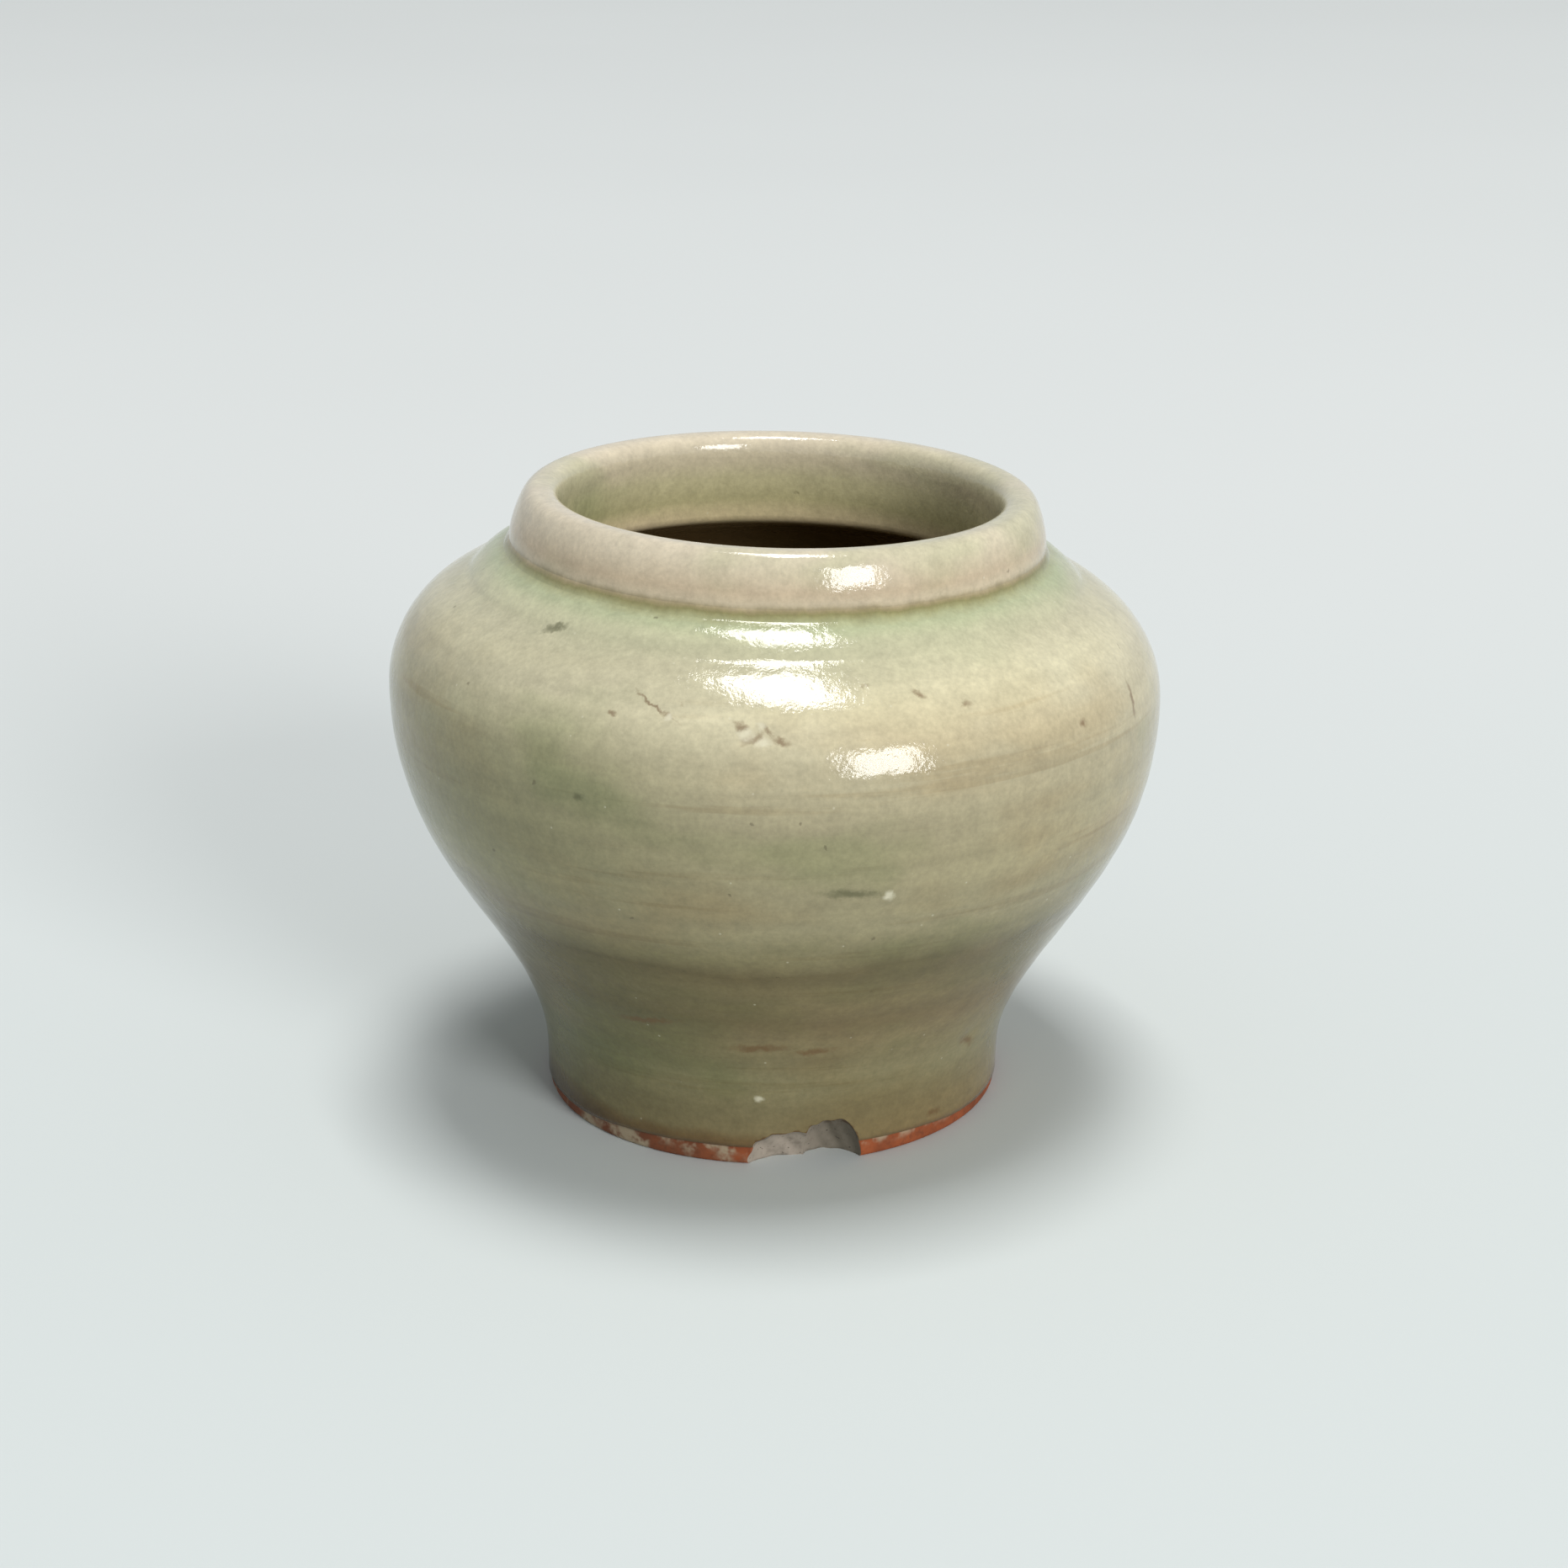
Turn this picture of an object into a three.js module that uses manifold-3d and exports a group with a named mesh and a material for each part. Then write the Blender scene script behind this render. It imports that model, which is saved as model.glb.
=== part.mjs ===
// A small stoneware baluster jar, modelled in millimetres with +Z up. The jar stands on z = 0 and
// its belly is centred on the Z axis. It is one wheel-thrown clay body under one coat of glaze.
import * as THREE from 'three';
import { mergeVertices } from 'three/addons/utils/BufferGeometryUtils.js';
import Module from 'manifold-3d';

// Foot: a turned ring round a shallow recess, left bare of glaze
const FOOT_RADIUS = 25;
const FOOT_RING_WIDTH = 5;
const FOOT_RECESS = 2;
const FOOT_BEVEL = 0.5;
const FOOT_FLARE_HEIGHT = 19;

// Belly and shoulder
const BELLY_RADIUS = 41.9;
const BELLY_HEIGHT = 46.1;
const BELLY_FULLNESS_BELOW = 20.8;
const BELLY_FULLNESS_ABOVE = 9.2;

// Shoulder: where its round turns hollow, how steep it is there, and how it eases each way
const SHOULDER_RADIUS = 33;
const SHOULDER_HEIGHT = 58.6;
const SHOULDER_SLOPE_DEGREES = 49;
const SHOULDER_EASE_BELOW = 0.8;
const SHOULDER_EASE_ABOVE = 4.2;

// Collar and lip
const COLLAR_RADIUS = 28.3;
const COLLAR_FOOT_HEIGHT = 64;
const COLLAR_EASE = 2.5;
const LIP_HEIGHT = 67.8;
const LIP_ROUND = 1.4;
const LIP_FALL = 1.2;
const MOUTH_RADIUS = 23.5;

// Thickness of the thrown wall at the belly and of the floor, both with the glaze on
const WALL = 4.2;
const FLOOR = 6;
const FLOOR_FLAT_RADIUS = 9;

// Glaze: its thickness, the height of its lower edge, and its clearance to the clay
const GLAZE = 0.5;
const GLAZE_LINE = 1.7;
const CLEARANCE = 0.3;

// The jar warped in the kiln: its rim dips towards +X and its body leans the same way
const RIM_DIP_DEGREES = 1.46;
const LEAN_DEGREES = 0.5;
const DIP_START = 16;

// The chip in the foot: two flakes struck side by side, at angles from the front towards +X
const FLAKES = [
  { angle: 8, width: 11, depth: 2.2, height: 2.7 },
  { angle: 17, width: 8, depth: 3.2, height: 3.5 },
];

// Facets: around the axis, and along a long or a short curve of the outline
const AROUND = 48;
const ALONG_LONG = 7;
const ALONG_SHORT = 3;
const LONG_CURVE = 12;

const radians = THREE.MathUtils.degToRad;

// The glazed surface as one line of radius and height: up the outside, over the lip, down inside
function glazedLine() {
  const line = new THREE.Path();
  line.moveTo(FOOT_RADIUS, GLAZE_LINE);
  line.bezierCurveTo(
    FOOT_RADIUS, FOOT_FLARE_HEIGHT,
    BELLY_RADIUS, BELLY_HEIGHT - BELLY_FULLNESS_BELOW,
    BELLY_RADIUS, BELLY_HEIGHT,
  );
  const slope = radians(SHOULDER_SLOPE_DEGREES);
  line.bezierCurveTo(
    BELLY_RADIUS, BELLY_HEIGHT + BELLY_FULLNESS_ABOVE,
    SHOULDER_RADIUS + SHOULDER_EASE_BELOW * Math.cos(slope),
    SHOULDER_HEIGHT - SHOULDER_EASE_BELOW * Math.sin(slope),
    SHOULDER_RADIUS, SHOULDER_HEIGHT,
  );
  line.bezierCurveTo(
    SHOULDER_RADIUS - SHOULDER_EASE_ABOVE * Math.cos(slope),
    SHOULDER_HEIGHT + SHOULDER_EASE_ABOVE * Math.sin(slope),
    COLLAR_RADIUS, COLLAR_FOOT_HEIGHT - COLLAR_EASE,
    COLLAR_RADIUS, COLLAR_FOOT_HEIGHT,
  );
  line.lineTo(COLLAR_RADIUS, LIP_HEIGHT - LIP_ROUND);
  line.quadraticCurveTo(COLLAR_RADIUS, LIP_HEIGHT, COLLAR_RADIUS - LIP_ROUND, LIP_HEIGHT);
  line.bezierCurveTo(
    (COLLAR_RADIUS + MOUTH_RADIUS) / 2, LIP_HEIGHT,
    MOUTH_RADIUS, LIP_HEIGHT,
    MOUTH_RADIUS, LIP_HEIGHT - LIP_FALL - LIP_ROUND,
  );
  const neckEnd = COLLAR_FOOT_HEIGHT - WALL;
  line.lineTo(MOUTH_RADIUS, neckEnd);
  line.bezierCurveTo(
    MOUTH_RADIUS, neckEnd - WALL,
    BELLY_RADIUS - WALL, BELLY_HEIGHT + BELLY_FULLNESS_ABOVE,
    BELLY_RADIUS - WALL, BELLY_HEIGHT,
  );
  line.bezierCurveTo(
    BELLY_RADIUS - WALL, BELLY_HEIGHT - BELLY_FULLNESS_BELOW + WALL,
    FLOOR_FLAT_RADIUS + 2 * WALL, FLOOR,
    FLOOR_FLAT_RADIUS, FLOOR,
  );
  line.lineTo(0, FLOOR);
  return line;
}

// Points along the line: many on the long curves of the body, few on the short ones of the rim
function pointsOf(line) {
  const points = [];
  for (const curve of line.curves) {
    const bent = curve.getLength() > LONG_CURVE ? ALONG_LONG : ALONG_SHORT;
    const steps = curve.isLineCurve ? 1 : bent;
    points.push(...curve.getPoints(steps).slice(points.length ? 1 : 0));
  }
  return points;
}

// The same line moved into the clay by a depth, square to itself; it stays on the axis at its end
function sunk(points, depth) {
  return points.map((point, i) => {
    const before = points[Math.max(i - 1, 0)];
    const after = points[Math.min(i + 1, points.length - 1)];
    const along = new THREE.Vector2().subVectors(after, before).normalize();
    if (i === 0) along.set(0, 1);
    if (i === points.length - 1) along.set(-1, 0);
    return new THREE.Vector2(point.x - along.y * depth, point.y + along.x * depth);
  });
}

// Turns a closed outline of radius and height about the upright axis
function turned(outline) {
  const geometry = new THREE.LatheGeometry(outline, AROUND);
  geometry.rotateX(Math.PI / 2);
  return geometry;
}

// Moves each point as the kiln did: planes above the foot dip towards +X, and the axis leans
function warped(geometry) {
  const position = geometry.attributes.position;
  const dip = Math.tan(radians(RIM_DIP_DEGREES));
  const lean = Math.tan(radians(LEAN_DEGREES));
  for (let i = 0; i < position.count; i += 1) {
    const x = position.getX(i);
    const z = position.getZ(i);
    const share = THREE.MathUtils.smoothstep(z, FOOT_RECESS, DIP_START);
    position.setX(i, x + lean * (z - BELLY_HEIGHT));
    position.setZ(i, z - x * dip * share);
  }
  return geometry;
}

const wasm = await Module();
wasm.setup();

function solidOf(geometry) {
  const bare = geometry.clone();
  bare.deleteAttribute('normal');
  bare.deleteAttribute('uv');
  const merged = mergeVertices(bare, 1e-4);
  return new wasm.Manifold(new wasm.Mesh({
    numProp: 3,
    vertProperties: new Float32Array(merged.attributes.position.array),
    triVerts: new Uint32Array(merged.index.array),
  }));
}

function geometryOf(solid) {
  const mesh = solid.getMesh();
  const geometry = new THREE.BufferGeometry();
  geometry.setAttribute('position', new THREE.BufferAttribute(mesh.vertProperties, 3));
  geometry.setIndex(new THREE.BufferAttribute(mesh.triVerts, 1));
  geometry.computeVertexNormals();
  return geometry;
}

// One flake of the chip: an ellipsoid centred on the foot's lower edge
function flake({ angle, width, depth, height }) {
  const geometry = new THREE.SphereGeometry(1, 20, 12);
  geometry.rotateX(Math.PI / 2);
  geometry.scale(width / 2, depth, height);
  geometry.translate(0, -FOOT_RADIUS, 0);
  geometry.rotateZ(radians(angle));
  geometry.translate(-Math.tan(radians(LEAN_DEGREES)) * BELLY_HEIGHT, 0, 0);
  return solidOf(geometry);
}

function chipped(geometry) {
  return FLAKES.reduce((solid, sizes) => solid.subtract(flake(sizes)), solidOf(geometry));
}

function piece(name, geometry, material) {
  const mesh = new THREE.Mesh(geometry, new THREE.MeshStandardMaterial(material));
  mesh.name = name;
  return mesh;
}

const surface = pointsOf(glazedLine());

// Clay body: the thrown wall and floor, with the foot turned underneath
function clayBody() {
  const skin = sunk(surface, GLAZE + CLEARANCE);
  const clayFoot = skin[0].x;
  const outline = [
    new THREE.Vector2(0, FOOT_RECESS),
    new THREE.Vector2(FOOT_RADIUS - FOOT_RING_WIDTH - FOOT_BEVEL, FOOT_RECESS),
    new THREE.Vector2(FOOT_RADIUS - FOOT_RING_WIDTH, 0),
    new THREE.Vector2(clayFoot - FOOT_BEVEL, 0),
    new THREE.Vector2(clayFoot, FOOT_BEVEL),
    ...skin,
  ];
  return geometryOf(chipped(warped(turned(outline))));
}

// Glaze coat: a closed skin from the glaze line, over the lip, to the middle of the floor
function glazeCoat() {
  const underside = sunk(surface, GLAZE).reverse();
  const outline = [...underside, ...surface];
  return geometryOf(chipped(warped(turned(outline))));
}

const jar = new THREE.Group();
jar.add(piece('clay_body', clayBody(), { color: 0xa9603a, roughness: 0.85, metalness: 0 }));
jar.add(piece('glaze_coat', glazeCoat(), { color: 0xb3a986, roughness: 0.25, metalness: 0 }));

export default jar;
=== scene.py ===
"""The finish of a small stoneware baluster jar: a thrown clay body under one coat of celadon glaze."""
import math

import bpy
import numpy as np
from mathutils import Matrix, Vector


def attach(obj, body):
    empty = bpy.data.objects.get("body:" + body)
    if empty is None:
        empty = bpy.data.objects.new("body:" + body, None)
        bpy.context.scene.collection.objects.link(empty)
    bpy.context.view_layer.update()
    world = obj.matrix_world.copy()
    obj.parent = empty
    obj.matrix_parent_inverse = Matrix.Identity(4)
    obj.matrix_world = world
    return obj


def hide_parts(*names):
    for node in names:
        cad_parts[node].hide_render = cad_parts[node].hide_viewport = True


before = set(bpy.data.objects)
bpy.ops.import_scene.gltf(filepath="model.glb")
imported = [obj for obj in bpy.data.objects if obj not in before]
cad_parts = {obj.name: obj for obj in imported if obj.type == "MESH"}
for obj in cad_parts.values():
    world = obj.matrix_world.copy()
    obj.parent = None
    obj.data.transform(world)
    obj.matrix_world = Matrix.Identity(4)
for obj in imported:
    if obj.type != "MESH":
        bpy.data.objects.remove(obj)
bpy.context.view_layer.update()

# The jar's own line. It is thrown on a wheel, so one outline of radius and height, turned about the
# axis, gives both the clay and the glaze. It runs from the foot up the outside, over the lip and down
# the inside to the floor, and the kiln then leaned the whole jar and dipped its rim towards +X.
FOOT_RADIUS = 0.0250
FOOT_SPLAY = 0.0004
FOOT_FLARE_HEIGHT = 0.0190
BELLY_RADIUS = 0.0419
BELLY_HEIGHT = 0.0461
BELLY_FULLNESS_BELOW = 0.0208
BELLY_FULLNESS_ABOVE = 0.0092
SHOULDER_RADIUS = 0.0330
SHOULDER_HEIGHT = 0.0586
SHOULDER_SLOPE = math.radians(49)
SHOULDER_EASE_BELOW = 0.0008
SHOULDER_EASE_ABOVE = 0.0042
CREASE_RADIUS = 0.02875
CREASE_HEIGHT = 0.0623
CREASE_EASE = 0.0015
COLLAR_TOP_RADIUS = 0.02785
COLLAR_TOP_HEIGHT = 0.0661
LIP_HEIGHT = 0.0678
LIP_CREST_RADIUS = 0.0260
LIP_FALL = 0.0026
MOUTH_RADIUS = 0.0235
NECK_HEIGHT = 0.0580
NECK_SWELL = 0.0002
WALL = 0.0042
FLOOR = 0.0060
FLOOR_FLAT_RADIUS = 0.0090
GLAZE = 0.0005
GLAZE_LINE = 0.0014
RIM_DIP = math.tan(math.radians(1.46))
LEAN = math.tan(math.radians(0.5))
NECK_LEAN = 0.06
NECK_START = 0.0600
DIP_START = (0.002, 0.016)
FINE, MIDDLING = 0.00052, 0.0013


def stretch(handles, step):
    """Even points along a straight line or a Bezier curve, after its first point."""
    handles = np.array(handles, float)
    order = len(handles) - 1

    def at(t):
        weights = [math.comb(order, k) * (1 - t) ** (order - k) * t ** k for k in range(order + 1)]
        return np.stack(weights, 1) @ handles

    fine = np.linspace(0, 1, 400)
    travelled = np.concatenate([[0], np.cumsum(np.linalg.norm(np.diff(at(fine), axis=0), axis=1))])
    count = max(2, math.ceil(travelled[-1] / step))
    return at(np.interp(np.linspace(0, travelled[-1], count + 1)[1:], travelled, fine))


def glazed_line():
    """The glazed surface as (radius, height) rows, and the number of rows that lie outside the lip's crest."""
    inwards, upwards = math.cos(SHOULDER_SLOPE), math.sin(SHOULDER_SLOPE)
    foot_edge = (FOOT_RADIUS + FOOT_SPLAY, GLAZE_LINE)
    belly_inside = BELLY_RADIUS - WALL
    collar_rise = COLLAR_TOP_HEIGHT - CREASE_HEIGHT
    outside = [
        ([foot_edge, (FOOT_RADIUS - FOOT_SPLAY / 2, FOOT_FLARE_HEIGHT),
          (BELLY_RADIUS, BELLY_HEIGHT - BELLY_FULLNESS_BELOW), (BELLY_RADIUS, BELLY_HEIGHT)], FINE),
        ([(BELLY_RADIUS, BELLY_HEIGHT), (BELLY_RADIUS, BELLY_HEIGHT + BELLY_FULLNESS_ABOVE),
          (SHOULDER_RADIUS + SHOULDER_EASE_BELOW * inwards, SHOULDER_HEIGHT - SHOULDER_EASE_BELOW * upwards),
          (SHOULDER_RADIUS, SHOULDER_HEIGHT)], FINE),
        ([(SHOULDER_RADIUS, SHOULDER_HEIGHT),
          (SHOULDER_RADIUS - SHOULDER_EASE_ABOVE * inwards, SHOULDER_HEIGHT + SHOULDER_EASE_ABOVE * upwards),
          (CREASE_RADIUS, CREASE_HEIGHT - CREASE_EASE), (CREASE_RADIUS, CREASE_HEIGHT)], FINE * 0.7),
        ([(CREASE_RADIUS, CREASE_HEIGHT), (CREASE_RADIUS, CREASE_HEIGHT + collar_rise / 4),
          (COLLAR_TOP_RADIUS + collar_rise / 7, COLLAR_TOP_HEIGHT - collar_rise / 3),
          (COLLAR_TOP_RADIUS, COLLAR_TOP_HEIGHT)], FINE),
        ([(COLLAR_TOP_RADIUS, COLLAR_TOP_HEIGHT), (COLLAR_TOP_RADIUS - collar_rise / 10, COLLAR_TOP_HEIGHT + collar_rise / 4),
          (LIP_CREST_RADIUS + collar_rise / 4, LIP_HEIGHT), (LIP_CREST_RADIUS, LIP_HEIGHT)], FINE / 2),
    ]
    inside = [
        ([(LIP_CREST_RADIUS, LIP_HEIGHT), ((LIP_CREST_RADIUS + MOUTH_RADIUS) / 2, LIP_HEIGHT),
          (MOUTH_RADIUS, LIP_HEIGHT), (MOUTH_RADIUS, LIP_HEIGHT - LIP_FALL)], FINE),
        ([(MOUTH_RADIUS, LIP_HEIGHT - LIP_FALL), (MOUTH_RADIUS + NECK_SWELL, LIP_HEIGHT - 2 * LIP_FALL),
          (MOUTH_RADIUS, NECK_HEIGHT + WALL / 3), (MOUTH_RADIUS, NECK_HEIGHT)], FINE),
        ([(MOUTH_RADIUS, NECK_HEIGHT), (MOUTH_RADIUS, NECK_HEIGHT - WALL / 3),
          (belly_inside, BELLY_HEIGHT + BELLY_FULLNESS_ABOVE), (belly_inside, BELLY_HEIGHT)], MIDDLING),
        ([(belly_inside, BELLY_HEIGHT), (belly_inside, BELLY_HEIGHT - BELLY_FULLNESS_BELOW + WALL),
          (FLOOR_FLAT_RADIUS + 2 * WALL, FLOOR), (FLOOR_FLAT_RADIUS, FLOOR)], MIDDLING),
        ([(FLOOR_FLAT_RADIUS, FLOOR), (0, FLOOR)], 2 * MIDDLING),
    ]
    rows = [np.array([foot_edge])] + [stretch(*part) for part in outside]
    crest = sum(map(len, rows))
    return np.concatenate(rows + [stretch(*part) for part in inside]), crest


def sunk(rows, depth):
    """The same line moved into the clay by a depth, or one for each row, square to itself."""
    along = np.gradient(rows, axis=0)
    along[0] = (0, 1)
    along[-1] = (-1, 0)
    along /= np.linalg.norm(along, axis=1)[:, None]
    return rows + np.reshape(depth, (-1, 1)) * np.stack([-along[:, 1], along[:, 0]], 1)


def warp(point):
    """Where the kiln left a point of the true round jar."""
    x, y, z = point
    start, full = DIP_START
    t = min(max((z - start) / (full - start), 0), 1)
    shift = LEAN * (z - BELLY_HEIGHT) + NECK_LEAN * max(z - NECK_START, 0)
    return Vector((x + shift, y, z - x * RIM_DIP * t * t * (3 - 2 * t)))


def add(tree, kind, wired=None, **settings):
    """Adds one node with its settings; wired gives its inputs, each a value or another node's output."""
    made = tree.nodes.new(kind)
    for name, value in settings.items():
        setattr(made, name, value)
    for socket, value in (wired or {}).items():
        if isinstance(value, bpy.types.NodeSocket):
            tree.links.new(value, made.inputs[socket])
        else:
            made.inputs[socket].default_value = value
    return made


def calc(tree, operation, first, second=0.0, third=0.0, clamp=False):
    wired = {0: first, 1: second, 2: third}
    return add(tree, "ShaderNodeMath", wired, operation=operation, use_clamp=clamp).outputs[0]


def ramped(tree, value, low, high, to_low=0.0, to_high=1.0, smooth=True):
    """The value carried from one range to another, with soft ends, and held at both ends."""
    kind = "SMOOTHSTEP" if smooth else "LINEAR"
    wired = {"Value": value, "From Min": low, "From Max": high, "To Min": to_low, "To Max": to_high}
    return add(tree, "ShaderNodeMapRange", wired, interpolation_type=kind).outputs["Result"]


# The wheel: Geometry Nodes turn an outline about the axis as the potter does, press the soft rings
# of the fingers into it, let the glaze run to an uneven line above the foot, and warp it as the kiln
# did. The outline is the modified object's own mesh, one point a row, with what each row carries.
def wheel():
    tree = bpy.data.node_groups.new("thrown on the wheel", "GeometryNodeTree")
    sockets = tree.interface
    sockets.new_socket("Outline", in_out="INPUT", socket_type="NodeSocketGeometry")
    for name, kind, value in (
        ("Around", "Int", 336), ("Ring Depth", "Float", 0.0002), ("Ring Pitch", "Float", 0.004),
        ("Line Rise", "Float", 0.0007), ("Line Wander", "Float", 0.0005), ("Rim Dip", "Float", 0.0),
        ("Lean", "Float", 0.0), ("Neck Lean", "Float", 0.0), ("Belly Height", "Float", 0.0),
        ("Seed", "Float", 0.0),
    ):
        sockets.new_socket(name, in_out="INPUT", socket_type=f"NodeSocket{kind}").default_value = value
    sockets.new_socket("Finish", in_out="INPUT", socket_type="NodeSocketMaterial")
    sockets.new_socket("Jar", in_out="OUTPUT", socket_type="NodeSocketGeometry")
    given = tree.nodes.new("NodeGroupInput").outputs
    outline = given["Outline"]

    rows = add(tree, "GeometryNodeAttributeDomainSize", {0: outline}).outputs["Point Count"]
    around = calc(tree, "ADD", given["Around"], 1)
    grid = add(tree, "GeometryNodeMeshGrid", {"Vertices X": around, "Vertices Y": rows})
    place = add(tree, "ShaderNodeSeparateXYZ", {0: tree.nodes.new("GeometryNodeInputPosition").outputs[0]})
    turn = calc(tree, "MULTIPLY", place.outputs["X"], 2 * math.pi)
    last = calc(tree, "SUBTRACT", rows, 1)
    row = calc(tree, "ROUND", calc(tree, "MULTIPLY", calc(tree, "ADD", place.outputs["Y"], 0.5), last))

    def sampled(kind, value):
        wired = {0: outline, "Value": value, "Index": row}
        return add(tree, "GeometryNodeSampleIndex", wired, data_type=kind, clamp=True).outputs[0]

    point = add(tree, "ShaderNodeSeparateXYZ",
                {0: sampled("FLOAT_VECTOR", tree.nodes.new("GeometryNodeInputPosition").outputs[0])})
    radius, height = point.outputs["X"], point.outputs["Z"]
    carried = {}
    for name in ("inside", "soft", "edge"):
        named = add(tree, "GeometryNodeInputNamedAttribute", {"Name": name}, data_type="FLOAT")
        carried[name] = sampled("FLOAT", named.outputs["Attribute"])

    mesh = grid.outputs["Mesh"]
    for name, value in (("inside", carried["inside"]), ("soft", carried["soft"]),
                        ("edge", carried["edge"]), ("height", height), ("turn", turn)):
        mesh = add(tree, "GeometryNodeStoreNamedAttribute", {"Geometry": mesh, "Name": name, "Value": value},
                   data_type="FLOAT", domain="POINT").outputs[0]
    on_round = add(tree, "ShaderNodeCombineXYZ", {
        "X": calc(tree, "MULTIPLY", radius, calc(tree, "SINE", turn)),
        "Y": calc(tree, "MULTIPLY", calc(tree, "MULTIPLY", radius, calc(tree, "COSINE", turn)), -1.0),
        "Z": height,
    })
    mesh = add(tree, "GeometryNodeSetPosition", {"Geometry": mesh, "Position": on_round.outputs[0]}).outputs[0]
    mesh = add(tree, "GeometryNodeMergeByDistance", {"Geometry": mesh, "Distance": 1e-6}).outputs[0]

    # Finger rings: a noise that changes fast up the wall and slowly round it, pressed inwards only
    here = tree.nodes.new("GeometryNodeInputPosition").outputs[0]
    now = add(tree, "ShaderNodeSeparateXYZ", {0: here}).outputs
    pitch = calc(tree, "DIVIDE", 1.0, given["Ring Pitch"])
    slow = calc(tree, "MULTIPLY", pitch, 0.06)
    stretched = add(tree, "ShaderNodeCombineXYZ", {
        "X": calc(tree, "MULTIPLY", now["X"], slow), "Y": calc(tree, "MULTIPLY", now["Y"], slow),
        "Z": calc(tree, "MULTIPLY", now["Z"], pitch)})
    rings = add(tree, "ShaderNodeTexNoise", {"Vector": stretched.outputs[0], "W": given["Seed"],
                "Scale": 1.0, "Detail": 2.0, "Roughness": 0.5}, noise_dimensions="4D").outputs[0]

    def stored(name):
        return add(tree, "GeometryNodeInputNamedAttribute", {"Name": name}, data_type="FLOAT").outputs[0]

    depth = calc(tree, "MULTIPLY", calc(tree, "MULTIPLY", rings, given["Ring Depth"]), stored("soft"))
    pressed = add(tree, "ShaderNodeVectorMath", {
        0: tree.nodes.new("GeometryNodeInputNormal").outputs[0],
        "Scale": calc(tree, "MULTIPLY", depth, -1.0)}, operation="SCALE").outputs[0]
    mesh = add(tree, "GeometryNodeSetPosition", {"Geometry": mesh, "Offset": pressed}).outputs[0]

    # The glaze line: higher at the front, and wandering all round
    wander = add(tree, "ShaderNodeTexNoise", {"Vector": here, "W": given["Seed"], "Scale": 70.0,
                 "Detail": 3.0, "Roughness": 0.6}, noise_dimensions="4D").outputs[0]
    rise = calc(tree, "MULTIPLY", ramped(tree, now["Y"], -0.014, -0.024), given["Line Rise"])
    run = calc(tree, "MULTIPLY", calc(tree, "SUBTRACT", wander, 0.5), given["Line Wander"])
    moved = add(tree, "ShaderNodeCombineXYZ",
                {"Z": calc(tree, "MULTIPLY", calc(tree, "ADD", rise, run), stored("edge"))})
    mesh = add(tree, "GeometryNodeSetPosition", {"Geometry": mesh, "Offset": moved.outputs[0]}).outputs[0]

    # The kiln's warp
    share = ramped(tree, now["Z"], DIP_START[0], DIP_START[1])
    drop = calc(tree, "MULTIPLY", calc(tree, "MULTIPLY", now["X"], given["Rim Dip"]), share)
    lean = calc(tree, "MULTIPLY", calc(tree, "SUBTRACT", now["Z"], given["Belly Height"]), given["Lean"])
    above = calc(tree, "MAXIMUM", calc(tree, "SUBTRACT", now["Z"], NECK_START), 0.0)
    lean = calc(tree, "ADD", lean, calc(tree, "MULTIPLY", above, given["Neck Lean"]))
    warped = add(tree, "ShaderNodeCombineXYZ", {"X": lean, "Z": calc(tree, "MULTIPLY", drop, -1.0)})
    mesh = add(tree, "GeometryNodeSetPosition", {"Geometry": mesh, "Offset": warped.outputs[0]}).outputs[0]
    mesh = add(tree, "GeometryNodeSetShadeSmooth", {"Geometry": mesh}).outputs[0]
    mesh = add(tree, "GeometryNodeRealizeInstances", {"Geometry": mesh}).outputs[0]
    mesh = add(tree, "GeometryNodeSetMaterial", {"Geometry": mesh, "Material": given["Finish"]}).outputs[0]
    out = tree.nodes.new("NodeGroupOutput")
    tree.links.new(mesh, out.inputs["Jar"])
    return tree


WHEEL = wheel()


def throw(name, rows, carried, finish, **sizes):
    """Turns rows of (radius, height) into a closed mesh on the wheel and returns it as a plain object."""
    outline = bpy.data.meshes.new(name)
    outline.from_pydata([(r, 0, z) for r, z in rows], [(i, i + 1) for i in range(len(rows) - 1)], [])
    for attribute, values in carried.items():
        outline.attributes.new(attribute, "FLOAT", "POINT").data.foreach_set("value", values)
    made = bpy.data.objects.new(name, outline)
    bpy.context.scene.collection.objects.link(made)
    modifier = made.modifiers.new("wheel", "NODES")
    modifier.node_group = WHEEL
    sizes.update({"Rim Dip": RIM_DIP, "Lean": LEAN, "Neck Lean": NECK_LEAN, "Belly Height": BELLY_HEIGHT, "Finish": finish})
    for socket in WHEEL.interface.items_tree:
        if socket.name in sizes:
            modifier[socket.identifier] = sizes[socket.name]
    plain = bpy.data.meshes.new_from_object(made.evaluated_get(bpy.context.evaluated_depsgraph_get()))
    made.modifiers.clear()
    made.data = plain
    plain.name = name
    return made


def fade(values, low, high):
    t = np.clip((values - low) / (high - low), 0, 1)
    return t * t * (3 - 2 * t)


# The chip in the foot: two flakes struck off side by side at the front. The cutters are lumpy
# ellipsoids, and the face that they leave is the raw grey body, rough and not glazed.
FLAKES = (
    {"angle": 5.0, "width": 0.0112, "depth": 0.0037, "height": 0.0041},
    {"angle": 14.0, "width": 0.0074, "depth": 0.0047, "height": 0.0053},
)
FLAKE_OUT = 0.0015


def tone(red, green, blue):
    """A colour written as it looks on screen, 0 to 255, as the linear colour that a material takes."""
    return tuple(((c / 255 + 0.055) / 1.055) ** 2.4 if c > 10 else c / 255 / 12.92
                 for c in (red, green, blue)) + (1.0,)


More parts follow.
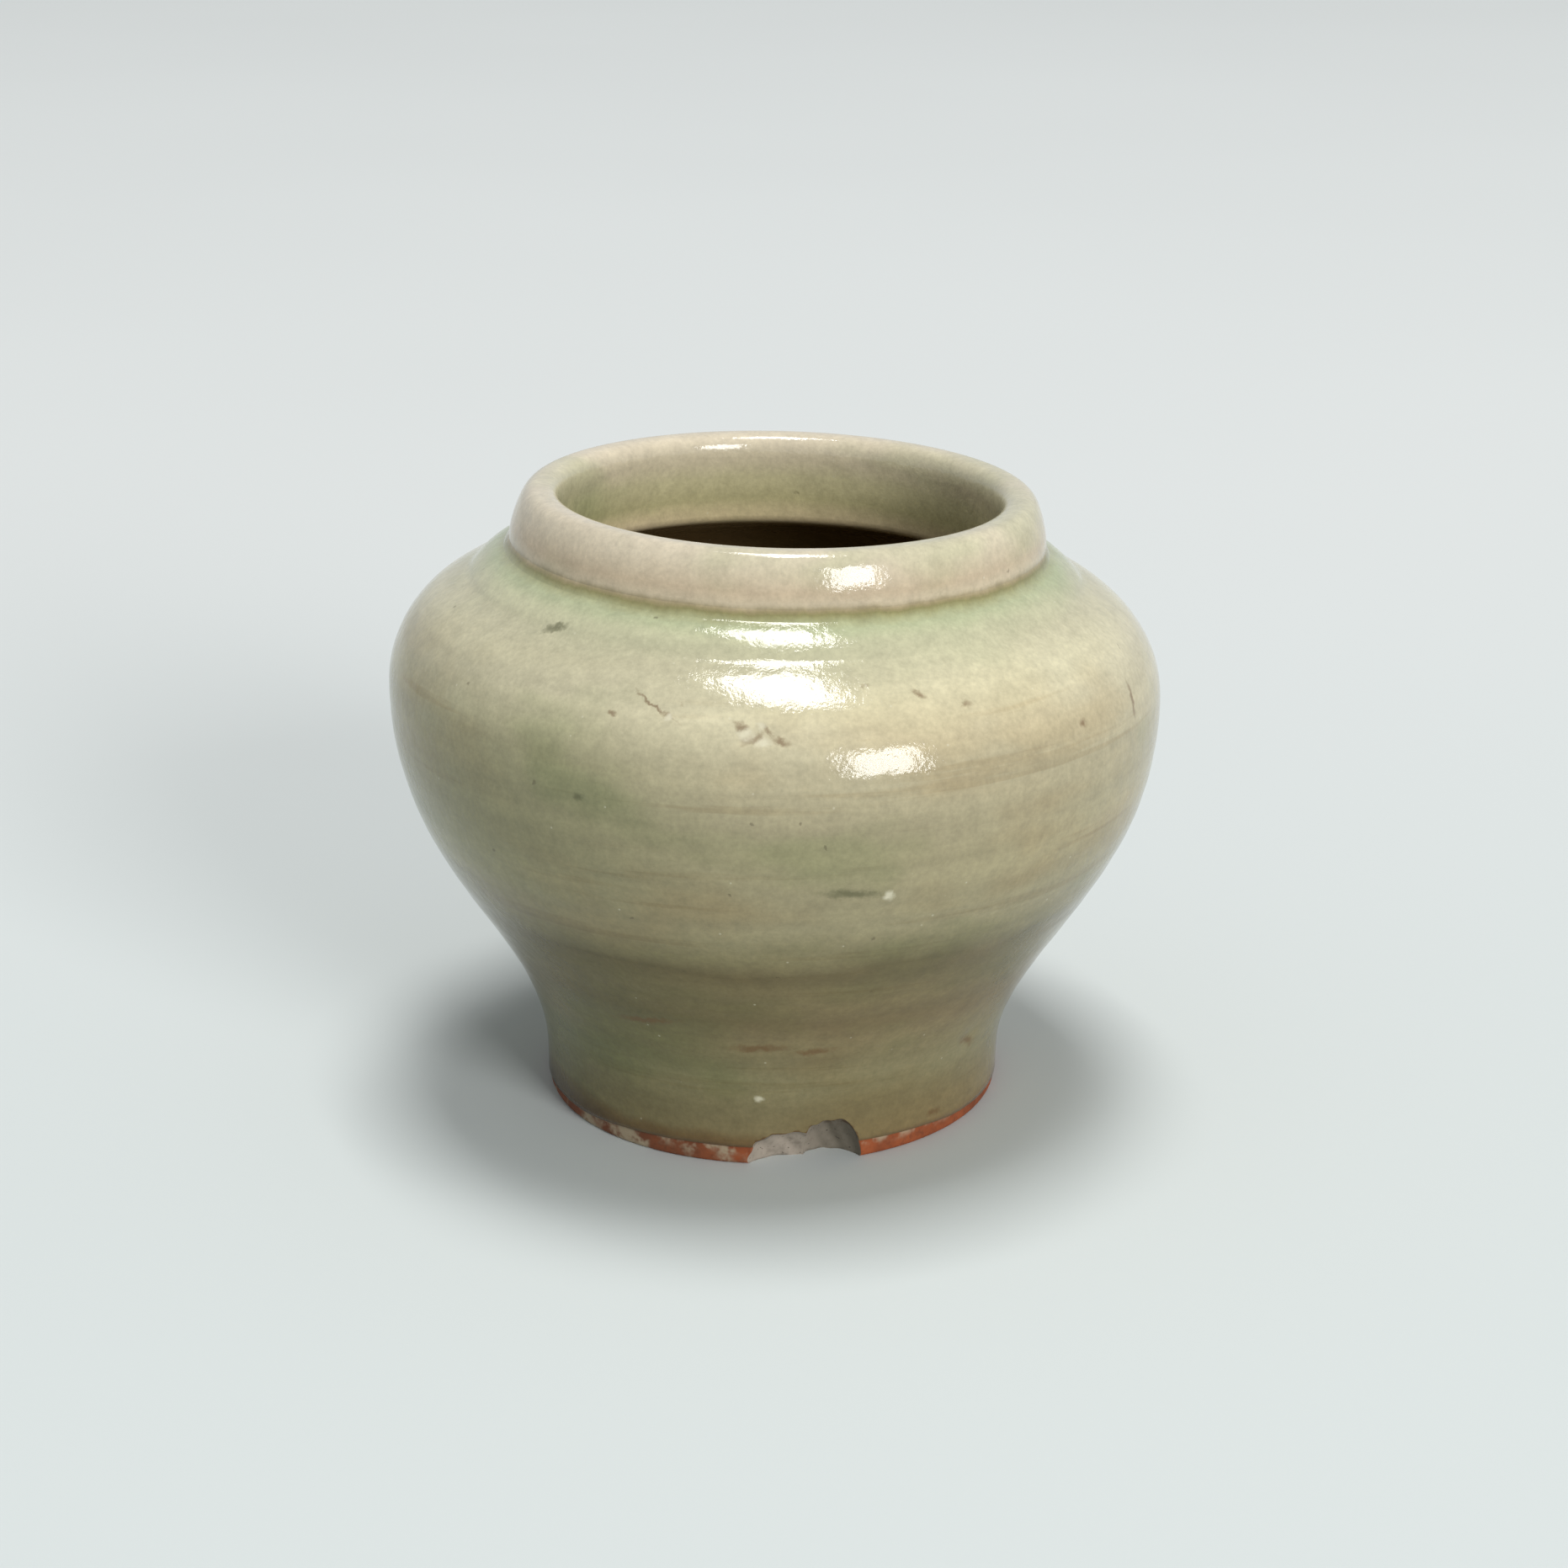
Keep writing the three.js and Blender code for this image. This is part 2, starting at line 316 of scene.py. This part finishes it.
def new_finish(name):
    """An empty material with its shader; returns the material, its tree and the shader."""
    finish = bpy.data.materials.new(name)
    finish.use_nodes = True
    return finish, finish.node_tree, finish.node_tree.nodes["Principled BSDF"]


def noise(tree, where, scale, detail=3.0, roughness=0.5, squash=(1, 1, 1)):
    """A noise in object space; squash stretches it, so that (1, 1, 8) makes bands round the jar."""
    spread = add(tree, "ShaderNodeMapping", {"Vector": where, "Scale": squash}).outputs[0]
    wired = {"Vector": spread, "Scale": scale, "Detail": detail, "Roughness": roughness}
    return add(tree, "ShaderNodeTexNoise", wired).outputs[0]


def mixed(tree, factor, first, second, blend="MIX"):
    wired = {0: factor, 6: first, 7: second}
    return add(tree, "ShaderNodeMix", wired, data_type="RGBA", blend_type=blend).outputs[2]


def scar_finish():
    finish, tree, shader = new_finish("raw grey body in the chip")
    where = tree.nodes.new("ShaderNodeTexCoord").outputs["Object"]
    across = add(tree, "ShaderNodeSeparateXYZ", {0: where}).outputs["X"]
    grain = noise(tree, where, 900, 5, 0.6)
    pits = noise(tree, where, 2600, 2, 0.5)
    # Painted shade: the grey body darkens towards the scar's right end, the side of the scoop turned from the
    # lights.
    colour = mixed(tree, ramped(tree, across, 0.001, 0.006), tone(176, 164, 150), tone(128, 120, 106))
    colour = mixed(tree, ramped(tree, grain, 0.45, 0.7, 0, 0.35), colour, tone(96, 86, 74))
    colour = mixed(tree, ramped(tree, pits, 0.66, 0.72, 0, 0.8), colour, tone(52, 44, 36))
    height = add(tree, "ShaderNodeSeparateXYZ", {0: where}).outputs["Z"]
    crust = calc(tree, "MULTIPLY", ramped(tree, height, 0.0030, 0.0044), ramped(tree, across, 0.002, 0.005))
    crust = calc(tree, "MULTIPLY", crust, ramped(tree, grain, 0.40, 0.56))
    colour = mixed(tree, crust, colour, tone(92, 66, 42))
    tree.links.new(colour, shader.inputs["Base Color"])
    shader.inputs["Roughness"].default_value = 0.72
    bump = add(tree, "ShaderNodeBump", {"Strength": 0.5, "Distance": 0.0002, "Height": grain})
    tree.links.new(bump.outputs[0], shader.inputs["Normal"])
    return finish


SCAR = scar_finish()


def flake(angle, width, depth, height):
    """One cutter, lumpy so that its scar isn't smooth."""
    bpy.ops.mesh.primitive_ico_sphere_add(subdivisions=5, radius=1.0)
    cutter = bpy.context.object
    co = np.empty(len(cutter.data.vertices) * 3, np.float32)
    cutter.data.vertices.foreach_get("co", co)
    co = co.reshape(-1, 3)
    lumps = 1 + 0.035 * np.sin(5.1 * co[:, 0] + 2 * co[:, 2]) * np.cos(4.3 * co[:, 1] + 3 * co[:, 2])
    lumps += 0.02 * np.sin(13 * co[:, 0] + 9 * co[:, 2] + angle)
    co *= lumps[:, None] * (width / 2, depth, height)
    co[:, 1] -= FOOT_RADIUS + FLAKE_OUT
    turn = math.radians(angle)
    x, y = co[:, 0].copy(), co[:, 1].copy()
    co[:, 0] = x * math.cos(turn) - y * math.sin(turn) - LEAN * BELLY_HEIGHT
    co[:, 1] = x * math.sin(turn) + y * math.cos(turn)
    cutter.data.vertices.foreach_set("co", co.ravel())
    cutter.data.materials.append(SCAR)
    cutter.data.shade_smooth()
    return cutter


def strike(made, operation, tool):
    """Joins a tool to a piece or cuts it away; the tool's own finish stays on the faces that it leaves."""
    cut = made.modifiers.new("strike", "BOOLEAN")
    cut.operation = operation
    cut.solver = "EXACT"
    cut.material_mode = "TRANSFER"
    cut.object = tool
    plain = bpy.data.meshes.new_from_object(made.evaluated_get(bpy.context.evaluated_depsgraph_get()))
    made.modifiers.clear()
    made.data = plain
    bpy.data.objects.remove(tool)


def chip(made):
    """Strikes both flakes off a piece at once, leaving the raw body on the broken faces."""
    first, second = [flake(**sizes) for sizes in FLAKES]
    strike(first, "UNION", second)
    strike(made, "DIFFERENCE", first)


# Clay body: one stoneware wall thrown from a single lump, with a turned foot ring round a shallow
# recess. Only its foot shows, burnt orange where the bare clay flashed in the kiln, with a thin cream
# scum just below the glaze and painted shade darkening its left side. The rest of it lies under the glaze.
FOOT_RING_WIDTH = 0.0050
FOOT_RECESS = 0.0020
FOOT_BEVEL = 0.0005
BEDDING = 0.00022
BEDDING_UP_THE_WALL = 0.0010

SURFACE, CREST = glazed_line()


def clay_finish():
    finish, tree, shader = new_finish("bare stoneware foot")
    where = tree.nodes.new("ShaderNodeTexCoord").outputs["Object"]
    place = add(tree, "ShaderNodeSeparateXYZ", {0: where}).outputs
    flash = noise(tree, where, 160, 4, 0.6)
    grain = noise(tree, where, 1500, 4, 0.6)
    colour = mixed(tree, ramped(tree, flash, 0.35, 0.65), tone(166, 86, 44), tone(130, 66, 34))
    colour = mixed(tree, ramped(tree, grain, 0.5, 0.75, 0, 0.5), colour, tone(84, 46, 28))
    # Painted shade: the left side of the foot is darkened towards a dull brown.
    painted_shade_left = calc(tree, "MULTIPLY", ramped(tree, place["X"], -0.002, -0.010), 0.6)
    colour = mixed(tree, painted_shade_left, colour, tone(96, 62, 40))
    left = ramped(tree, place["X"], 0.004, -0.006)
    scum = calc(tree, "ADD", ramped(tree, place["Z"], 0.0008, 0.0020),
                calc(tree, "MULTIPLY", left, ramped(tree, flash, 0.45, 0.6)), clamp=True)
    scum = calc(tree, "MULTIPLY", scum, ramped(tree, noise(tree, where, 420, 3, 0.6), 0.42, 0.58))
    colour = mixed(tree, calc(tree, "MULTIPLY", scum, 0.8), colour, tone(184, 170, 142))
    tree.links.new(colour, shader.inputs["Base Color"])
    shader.inputs["Roughness"].default_value = 0.78
    bump = add(tree, "ShaderNodeBump", {"Strength": 0.45, "Distance": 0.00015, "Height": grain})
    tree.links.new(bump.outputs[0], shader.inputs["Normal"])
    return finish


def throw_clay():
    rising = fade(np.arange(len(SURFACE)), 6, 20)
    under = sunk(SURFACE, BEDDING + (BEDDING_UP_THE_WALL - BEDDING) * rising)
    rim = under[0, 0]
    inner = FOOT_RADIUS - FOOT_RING_WIDTH
    foot = [np.array([[0, FOOT_RECESS]])]
    foot.append(stretch([(0, FOOT_RECESS), (inner - FOOT_BEVEL, FOOT_RECESS)], MIDDLING))
    foot.append(stretch([(inner - FOOT_BEVEL, FOOT_RECESS), (inner, FOOT_RECESS),
                         (inner, FOOT_BEVEL), (inner + FOOT_BEVEL, 0)], FINE))
    foot.append(stretch([(inner + FOOT_BEVEL, 0), (rim - FOOT_BEVEL, 0)], MIDDLING))
    foot.append(stretch([(rim - FOOT_BEVEL, 0), (rim, 0), (rim, FOOT_BEVEL)], FINE / 2))
    foot.append(stretch([(rim, FOOT_BEVEL), tuple(under[0])], FINE / 2))
    hidden = under[under[:, 1] > 0.004]
    visible = under[1:][under[1:, 1] <= 0.004][:8]
    rows = np.concatenate(foot + [visible, hidden[::4], under[-1:]])
    nothing = np.zeros(len(rows))
    return throw("jar_clay_body", rows, {"inside": nothing, "soft": nothing, "edge": nothing},
                 clay_finish(), Around=336)


clay = throw_clay()
chip(clay)
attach(clay, "root")
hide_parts("clay_body")


# Glaze coat: one skin of olive-grey celadon glass, half a millimetre thick, poured over the dry clay
# and fused on. It breaks pinkish beige on the collar, pools green in the crease below it, and runs
# thinner and darker down to an uneven line above the foot. The kiln left pits, specks and a crack.
PITS = (
    {"angle": -2.5, "height": 0.0533, "across": 0.0016, "depth": 0.00030},
    {"angle": -0.6, "height": 0.0530, "across": 0.0009, "depth": 0.00022},
    {"angle": 16.0, "height": 0.0366, "across": 0.0010, "depth": -0.00022},
    {"angle": 8.0, "height": 0.0368, "across": 0.0007, "depth": 0.00014},
    {"angle": -27.5, "height": 0.0453, "across": 0.0007, "depth": 0.00018},
    {"angle": 49.0, "height": 0.0508, "across": 0.0007, "depth": 0.00016},
    {"angle": -3.0, "height": 0.0080, "across": 0.0008, "depth": -0.00010},
    {"angle": 51.0, "height": 0.0118, "across": 0.0012, "depth": 0.00018},
)


def radius_at(height):
    """The jar's outer radius at a height."""
    return float(np.interp(height, SURFACE[:CREST, 1], SURFACE[:CREST, 0]))


def on_jar(angle, height, radius=None):
    """The place on the warped jar at an angle from the front, towards +X, and a height."""
    turn = math.radians(angle)
    r = radius_at(height) if radius is None else radius
    return warp((r * math.sin(turn), -r * math.cos(turn), height))


def dimple(made):
    """Presses the kiln's pits and bubbles into the mesh, along its normals."""
    data = made.data
    count = len(data.vertices)
    co = np.empty(count * 3, np.float32)
    normal = np.empty(count * 3, np.float32)
    data.vertices.foreach_get("co", co)
    data.vertex_normals.foreach_get("vector", normal)
    co = co.reshape(-1, 3)
    normal = normal.reshape(-1, 3)
    for pit in PITS:
        away = np.linalg.norm(co - np.array(on_jar(pit["angle"], pit["height"])), axis=1)
        co -= normal * (pit["depth"] * np.exp(-(away / pit["across"]) ** 2))[:, None]
    data.vertices.foreach_set("co", co.ravel())
    data.update()


def glaze_colour(tree, where):
    """The glaze's colour by height outside and inside, with painted shade in the hollow and on the left side, then
    drift, bands, mottle and specks.
    """
    place = add(tree, "ShaderNodeSeparateXYZ", {0: where}).outputs
    height = add(tree, "ShaderNodeAttribute", attribute_name="height").outputs["Fac"]
    inside = add(tree, "ShaderNodeAttribute", attribute_name="inside").outputs["Fac"]
    drift = noise(tree, where, 28, 3, 0.55, (1, 1, 2.2))
    bands = noise(tree, where, 14, 5, 0.55, (1, 1, 16))
    threads = noise(tree, where, 22, 4, 0.6, (1, 1, 24))
    mottle = noise(tree, where, 520, 4, 0.62)
    fine = noise(tree, where, 1900, 3, 0.6)

    below = ramped(tree, height, 0.0600, 0.0570)
    wander = calc(tree, "MULTIPLY", calc(tree, "SUBTRACT", drift, 0.5), 0.011)
    wander = calc(tree, "MULTIPLY", wander, below)
    ragged = calc(tree, "MULTIPLY", calc(tree, "SUBTRACT", noise(tree, where, 330, 4, 0.6), 0.5), 0.0009)
    level = calc(tree, "DIVIDE", calc(tree, "ADD", calc(tree, "ADD", height, wander), ragged), LIP_HEIGHT)
    outer = add(tree, "ShaderNodeValToRGB", {0: level})
    shades = (
        (0.0010, tone(112, 84, 52)), (0.0024, tone(132, 108, 70)), (0.0036, tone(146, 132, 94)),
        (0.0097, tone(144, 136, 100)), (0.0177, tone(130, 114, 80)), (0.0225, tone(122, 110, 76)),
        (0.0262, tone(108, 96, 63)), (0.0285, tone(134, 125, 89)), (0.0330, tone(159, 150, 115)),
        (0.0400, tone(168, 158, 123)), (0.0475, tone(187, 176, 143)), (0.0543, tone(209, 201, 170)),
        (0.0580, tone(209, 203, 170)), (0.0600, tone(202, 201, 166)), (0.0609, tone(184, 190, 152)),
        (0.0616, tone(160, 158, 114)), (0.0620, tone(140, 134, 88)), (0.0624, tone(164, 148, 112)),
        (0.0629, tone(208, 192, 164)), (0.0640, tone(200, 181, 153)), (0.0650, tone(206, 190, 163)),
        (0.0666, tone(216, 203, 178)), (0.0678, tone(220, 208, 184)),
    )
    fill_ramp(outer.color_ramp, shades)
    # Inside, the ramp darkens below the neck's pale inner ridge down to the floor: painted shade of the jar's
    # hollow.
    inner = add(tree, "ShaderNodeValToRGB", {0: level})
    fill_ramp(inner.color_ramp, (
        (0.0050, tone(84, 68, 42)), (0.0450, tone(112, 92, 58)), (0.0562, tone(146, 122, 84)),
        (0.0574, tone(228, 208, 170)), (0.0590, tone(216, 200, 158)), (0.0605, tone(198, 190, 144)),
        (0.0630, tone(212, 204, 162)), (0.0650, tone(228, 216, 184)), (0.0678, tone(220, 208, 184)),
    ))
    colour = mixed(tree, inside, outer.outputs[0], inner.outputs[0])

    # Darker and greener on the left below the shoulder: partly the glaze's own greener tone, partly painted shade
    # of the side away from the lights.
    side = calc(tree, "ADD", place["X"], calc(tree, "MULTIPLY", calc(tree, "SUBTRACT", drift, 0.5), 0.02))
    left = calc(tree, "MULTIPLY", ramped(tree, side, 0.004, -0.030), ramped(tree, height, 0.0585, 0.045))
    colour = mixed(tree, calc(tree, "MULTIPLY", left, 0.8), colour, tone(204, 212, 192), "MULTIPLY")
    warm = calc(tree, "MULTIPLY", ramped(tree, drift, 0.5, 0.66), ramped(tree, height, 0.06, 0.05))
    colour = mixed(tree, calc(tree, "MULTIPLY", warm, 0.5), colour, tone(232, 214, 190), "MULTIPLY")
    cool = calc(tree, "MULTIPLY", ramped(tree, drift, 0.48, 0.36), 0.5)
    colour = mixed(tree, cool, colour, tone(214, 230, 208), "MULTIPLY")
    thread = calc(tree, "MULTIPLY", ramped(tree, threads, 0.56, 0.68), ramped(tree, height, 0.058, 0.052))
    colour = mixed(tree, calc(tree, "MULTIPLY", thread, 0.32), colour, tone(210, 192, 166), "MULTIPLY")
    lines = ramped(tree, bands, 0.36, 0.66, 0.85, 1.08, smooth=False)
    colour = mixed(tree, ramped(tree, height, 0.064, 0.058), colour, grey(tree, colour, lines))
    colour = grey(tree, colour, ramped(tree, mottle, 0.3, 0.7, 0.90, 1.08, smooth=False))
    colour = grey(tree, colour, ramped(tree, fine, 0.3, 0.7, 0.91, 1.07, smooth=False))
    return colour


def grey(tree, colour, strength):
    """The colour made darker or lighter by a number."""
    wired = {0: colour, "Scale": strength}
    return add(tree, "ShaderNodeVectorMath", wired, operation="SCALE").outputs[0]


def fill_ramp(ramp, shades):
    """Puts (height, colour) shades on a colour ramp that runs from the table to the lip's crest."""
    while len(ramp.elements) > 1:
        ramp.elements.remove(ramp.elements[-1])
    ramp.elements[0].position = shades[0][0] / LIP_HEIGHT
    ramp.elements[0].color = shades[0][1]
    for height, colour in shades[1:]:
        ramp.elements.new(min(height / LIP_HEIGHT, 1)).color = colour


def specks(tree, where, scale, size, chance):
    """Small round specks: where a cell's centre is near and its own random number is high enough."""
    cells = add(tree, "ShaderNodeTexVoronoi", {"Vector": where, "Scale": scale})
    near = ramped(tree, cells.outputs["Distance"], size, size * 0.5)
    drawn = add(tree, "ShaderNodeSeparateXYZ", {0: cells.outputs["Color"]}).outputs["X"]
    return calc(tree, "MULTIPLY", near, calc(tree, "LESS_THAN", drawn, chance))


def mark(tree, where, ragged, angle, height, half_width, half_height, slant=0.0, radius=None):
    """A soft-edged mask round one mark on the glaze."""
    wired = {"Vector": where, "Location": on_jar(angle, height, radius),
             "Rotation": (0, math.radians(slant), math.radians(angle)),
             "Scale": (half_width, max(half_width, half_height), half_height)}
    local = add(tree, "ShaderNodeMapping", wired, vector_type="TEXTURE").outputs[0]
    away = add(tree, "ShaderNodeVectorMath", {0: local}, operation="LENGTH").outputs["Value"]
    return ramped(tree, calc(tree, "ADD", away, ragged), 1.5, 0.2)


BROWN_MARKS = (
    (-5.0, 0.0538, 0.0009, 0.0004, 20), (-3.2, 0.0528, 0.0012, 0.0004, -20), (-1.2, 0.0534, 0.0008, 0.0003, 35),
    (0.6, 0.0526, 0.0010, 0.0003, 15), (-18.2, 0.0548, 0.0027, 0.00014, 24), (-24.0, 0.0538, 0.0005, 0.0003),
    (-14.0, 0.0552, 0.0003, 0.0003), (49.0, 0.0508, 0.0006, 0.0004), (63.7, 0.0508, 0.0003, 0.0020, 12),
    (51.5, 0.0110, 0.0018, 0.0005, 30), (43.5, 0.0030, 0.0010, 0.0004), (-3.0, 0.0151, 0.0030, 0.0005, -3),
    (8.5, 0.0146, 0.0022, 0.0004, -4), (-26.5, 0.0172, 0.0035, 0.0004, -10), (22.0, 0.0560, 0.0007, 0.0003, 20),
    (29.0, 0.0548, 0.0006, 0.0003), (14.0, 0.0569, 0.0005, 0.0003),
)
DARK_MARKS = (
    (-27.5, 0.0453, 0.0006, 0.0004), (10.5, 0.0370, 0.0030, 0.0005, 4), (-42.5, 0.0588, 0.0014, 0.0003, -20),
)
PALE_MARKS = (
    (16.0, 0.0366, 0.0006, 0.0005), (-3.0, 0.0080, 0.0005, 0.0004), (-15.5, 0.0540, 0.0004, 0.0003),
    (-4.2, 0.0531, 0.0008, 0.0006), (-1.9, 0.0525, 0.0008, 0.0005), (-2.3, 0.0538, 0.0006, 0.0004),
)


def glaze_finish():
    finish, tree, shader = new_finish("olive grey celadon glaze")
    where = tree.nodes.new("ShaderNodeTexCoord").outputs["Object"]
    colour = glaze_colour(tree, where)
    crumple = add(tree, "ShaderNodeTexNoise", {"Vector": where, "Scale": 900.0, "Detail": 3.0,
                  "Roughness": 0.6}).outputs["Color"]
    crumple = add(tree, "ShaderNodeVectorMath", {0: crumple, 1: (0.5, 0.5, 0.5)}, operation="SUBTRACT")
    crumple = add(tree, "ShaderNodeVectorMath", {0: crumple.outputs[0], "Scale": 0.0012}, operation="SCALE")
    bent = add(tree, "ShaderNodeVectorMath", {0: where, 1: crumple.outputs[0]}, operation="ADD").outputs[0]
    ragged = calc(tree, "MULTIPLY", calc(tree, "SUBTRACT", noise(tree, where, 1500, 3, 0.6), 0.5), 1.1)

    def group(marks):
        mask = 0.0
        for sizes in marks:
            mask = calc(tree, "MAXIMUM", mark(tree, bent, ragged, *sizes), mask)
        return mask

    colour = mixed(tree, calc(tree, "MULTIPLY", specks(tree, bent, 420, 0.13, 0.08), 0.45), colour,
                   tone(70, 56, 34))
    colour = mixed(tree, calc(tree, "MULTIPLY", specks(tree, where, 900, 0.15, 0.06), 0.3), colour,
                   tone(226, 222, 200))
    colour = mixed(tree, calc(tree, "MULTIPLY", group(DARK_MARKS), 0.7), colour, tone(84, 84, 50))
    colour = mixed(tree, calc(tree, "MULTIPLY", group(BROWN_MARKS), 0.65), colour, tone(108, 76, 42))
    colour = mixed(tree, calc(tree, "MULTIPLY", group(PALE_MARKS), 0.8), colour, tone(222, 216, 190))
    tree.links.new(colour, shader.inputs["Base Color"])
    peel = noise(tree, where, 700, 2, 0.5)
    grit = noise(tree, where, 3200, 2, 0.5)
    gloss = ramped(tree, noise(tree, where, 90, 4, 0.6), 0.3, 0.7, 0.06, 0.13)
    tree.links.new(gloss, shader.inputs["Roughness"])
    relief = calc(tree, "ADD", peel, calc(tree, "MULTIPLY", grit, 0.35))
    bump = add(tree, "ShaderNodeBump", {"Strength": 0.42, "Distance": 0.00012, "Height": relief})
    tree.links.new(bump.outputs[0], shader.inputs["Normal"])
    shader.inputs["IOR"].default_value = 1.52
    return finish


def throw_glaze():
    under = sunk(SURFACE, GLAZE)
    hidden = np.concatenate([under[:3], under[3:CREST:9], under[CREST:-1:3], under[-1:]])[::-1]
    rows = np.concatenate([SURFACE, hidden, SURFACE[:1]])
    index = np.arange(len(rows))
    on_surface = index < len(SURFACE)
    inside = np.where(on_surface & (index >= CREST), 1.0, 0.0)
    soft = np.where(on_surface, 1.0, 0.0) * fade(rows[:, 1], 0.003, 0.007) * (1 - fade(rows[:, 1], 0.0600, 0.0620))
    edge = np.where(rows[:, 0] > FOOT_RADIUS * 0.9, 1.0, 0.0) * (1 - fade(rows[:, 1], GLAZE_LINE, 0.006))
    edge = np.where((index < CREST) | (index > len(SURFACE) + 3), edge, 0.0)
    return throw("jar_glaze_coat", rows, {"inside": inside, "soft": soft, "edge": edge}, glaze_finish(),
                 **{"Around": 336, "Ring Depth": 0.00024, "Ring Pitch": 0.0042, "Seed": 3.0})


glaze = throw_glaze()
dimple(glaze)
chip(glaze)
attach(glaze, "root")
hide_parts("glaze_coat")


# Stage: a plain pale floor under one large overhead softbox and a smaller one in front on the right,
# with the room's pale walls as fill. The jar is seen from the front, a little above its lip.
def floor_finish():
    finish, tree, shader = new_finish("pale grey table")
    where = tree.nodes.new("ShaderNodeTexCoord").outputs["Object"]
    place = add(tree, "ShaderNodeSeparateXYZ", {0: where}).outputs
    far = ramped(tree, place["Y"], -0.10, 0.30)
    cloud = noise(tree, where, 3, 2, 0.5)
    colour = mixed(tree, far, tone(220, 227, 227), tone(227, 231, 231))
    colour = grey(tree, colour, ramped(tree, cloud, 0.3, 0.7, 0.985, 1.0))
    tree.links.new(colour, shader.inputs["Base Color"])
    shader.inputs["Roughness"].default_value = 0.9
    shader.inputs["Specular IOR Level"].default_value = 0.1
    return finish


FLOOR_HALF = 4.0
bpy.ops.mesh.primitive_grid_add(x_subdivisions=8, y_subdivisions=8, size=2 * FLOOR_HALF)
table = bpy.context.object
table.name = "pale_table"
table.data.materials.append(floor_finish())


def softbox(name, place, aim, size, power, colour):
    light = bpy.data.lights.new(name, "AREA")
    light.shape = "RECTANGLE"
    light.size, light.size_y = size
    light.energy = power
    light.color = colour
    made = bpy.data.objects.new(name, light)
    made.location = place
    made.rotation_euler = (Vector(aim) - Vector(place)).to_track_quat("-Z", "Y").to_euler()
    bpy.context.scene.collection.objects.link(made)


JAR_MIDDLE = (0, 0, 0.045)
softbox("overhead_softbox", (0.25, 0.10, 5.0), JAR_MIDDLE, (2.1, 1.45), 142.0, (1.0, 0.99, 0.97))
softbox("front_softbox", (1.51, -2.33, 1.16), JAR_MIDDLE, (1.05, 1.05), 46.0, (1.0, 0.99, 0.98))

world = bpy.data.worlds.new("pale room")
bpy.context.scene.world = world
world.use_nodes = True
room = world.node_tree
seen = room.nodes.new("ShaderNodeLightPath").outputs
mirrored = calc(room, "ADD", calc(room, "ADD", seen["Is Camera Ray"], seen["Is Glossy Ray"]),
                seen["Is Transmission Ray"], clamp=True)
backdrop = room.nodes["Background"]
backdrop.inputs["Color"].default_value = tone(236, 240, 242)
room.links.new(ramped(room, mirrored, 0, 1, 0.33, 0.75, smooth=False), backdrop.inputs["Strength"])

CAMERA_PLACE = (-0.0004, -0.31566, 0.14645)
CAMERA_AIM = (0.00407, 0.94206, -0.33542)
FOCAL_LENGTH = 69.64
camera = bpy.data.objects.new("camera", bpy.data.cameras.new("camera"))
camera.location = CAMERA_PLACE
camera.rotation_euler = Vector(CAMERA_AIM).to_track_quat("-Z", "Y").to_euler()
camera.data.lens = FOCAL_LENGTH
camera.data.sensor_width = 36.0
camera.data.clip_start = 0.01
bpy.context.scene.collection.objects.link(camera)
bpy.context.scene.camera = camera
bpy.context.scene.view_settings.view_transform = "Standard"
